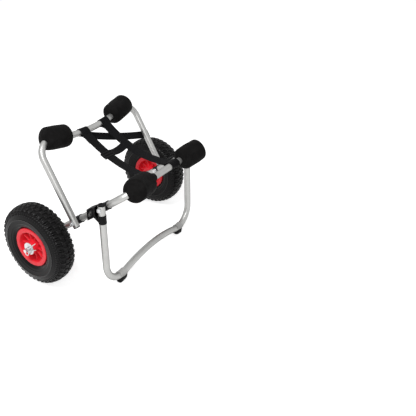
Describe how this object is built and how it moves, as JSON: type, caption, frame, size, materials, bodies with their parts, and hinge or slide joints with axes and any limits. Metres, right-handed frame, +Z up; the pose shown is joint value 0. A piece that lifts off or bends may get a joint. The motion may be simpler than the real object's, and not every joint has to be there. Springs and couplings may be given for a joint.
{
  "type": "kayak cart",
  "caption": "Folding kayak cart: two padded tube arches with webbing straps between them, a fold-down kickstand and knobby pneumatic wheels on clipped axle pins.",
  "frame": {"origin": "on the ground under the middle of the whole cart as it stands open", "axes": "+X along the wheels' axle to the right wheel, -Y to the kickstand, +Z up"},
  "size_m": [0.7396, 0.4348, 0.4625],
  "materials": {
    "tube_aluminium": "satin anodised",
    "steel": "zinc plated",
    "foam": "closed cell foam skin",
    "tyre_rubber": "matt rubber",
    "soft_rubber": "matt rubber",
    "black_plastic": "moulded",
    "rim_plastic": "moulded, red",
    "nylon": "plain",
    "webbing": "woven webbing"
  },
  "bodies": {
    "front_frame": {"front_arch_tube": "tube_aluminium", "front_leg_cap_left": "black_plastic", "front_leg_cap_right": "black_plastic", "fold_saddle_left": "black_plastic", "fold_saddle_right": "black_plastic", "fold_bolt_left": "steel", "fold_bolt_right": "steel", "fold_nut_left": "steel", "fold_nut_right": "steel", "kickstand_saddle_left": "black_plastic", "kickstand_saddle_right": "black_plastic", "kickstand_bolt_left": "steel", "kickstand_bolt_right": "steel", "kickstand_nut_left": "steel", "kickstand_nut_right": "steel", "stop_block_left": "black_plastic", "stop_block_right": "black_plastic", "stop_rivet_left": "black_plastic", "stop_rivet_right": "black_plastic", "front_pad_left": "foam", "front_pad_right": "foam", "axle_pin_left": "steel", "axle_pin_right": "steel", "axle_nut_left": "steel", "axle_nut_right": "steel", "axle_spacer_left": "nylon", "axle_spacer_right": "nylon", "axle_washer_left": "steel", "axle_washer_right": "steel", "left_strap": "webbing", "right_strap": "webbing", "strap_buckle": "black_plastic", "strap_tail": "webbing"},
    "rear_frame": {"rear_arch_tube": "tube_aluminium", "rear_leg_cap_left": "black_plastic", "rear_leg_cap_right": "black_plastic", "rear_pad_left": "foam", "rear_pad_right": "foam", "cross_band": "webbing"},
    "kickstand": {"kickstand_tube": "tube_aluminium", "kickstand_cap_left": "black_plastic", "kickstand_cap_right": "black_plastic", "kickstand_yoke_left": "black_plastic", "kickstand_yoke_right": "black_plastic", "kickstand_foot_left": "soft_rubber", "kickstand_foot_right": "soft_rubber", "kickstand_foot_band_left": "tube_aluminium", "kickstand_foot_band_right": "tube_aluminium"},
    "wheel_left": {"tyre_left": "tyre_rubber", "inner_tube_left": "soft_rubber", "valve_stem_left": "black_plastic", "rim_left": "rim_plastic", "hub_bush_left": "nylon"},
    "wheel_right": {"tyre_right": "tyre_rubber", "inner_tube_right": "soft_rubber", "valve_stem_right": "black_plastic", "rim_right": "rim_plastic", "hub_bush_right": "nylon"},
    "clip_left": {"r_clip_left": "steel"},
    "clip_right": {"r_clip_right": "steel"}
  },
  "joints": [
    {"name": "frame_fold", "type": "hinge", "parent": "front_frame", "child": "rear_frame", "pos_m": [0, -0.0014, 0.20459], "axis": [1, 0, 0], "range_deg": [0, 66], "deforming": ["left_strap", "right_strap", "strap_tail", "strap_buckle"]},
    {"name": "kickstand_fold", "type": "hinge", "parent": "front_frame", "child": "kickstand", "pos_m": [0, -0.10973, 0.29485], "axis": [-1, 0, 0], "range_deg": [0, 120]},
    {"name": "wheel_left_spin", "type": "hinge", "parent": "front_frame", "child": "wheel_left", "pos_m": [0, 0.08388, 0.13354], "axis": [1, 0, 0], "continuous": true},
    {"name": "wheel_right_spin", "type": "hinge", "parent": "front_frame", "child": "wheel_right", "pos_m": [0, 0.08388, 0.13354], "axis": [1, 0, 0], "continuous": true},
    {"name": "clip_left_pull", "type": "slide", "parent": "front_frame", "child": "clip_left", "axis": [0, 0.6691, -0.7431], "range_m": [0, 0.05]},
    {"name": "clip_right_pull", "type": "slide", "parent": "front_frame", "child": "clip_right", "axis": [0, -0.6691, -0.7431], "range_m": [0, 0.05]}
  ]
}
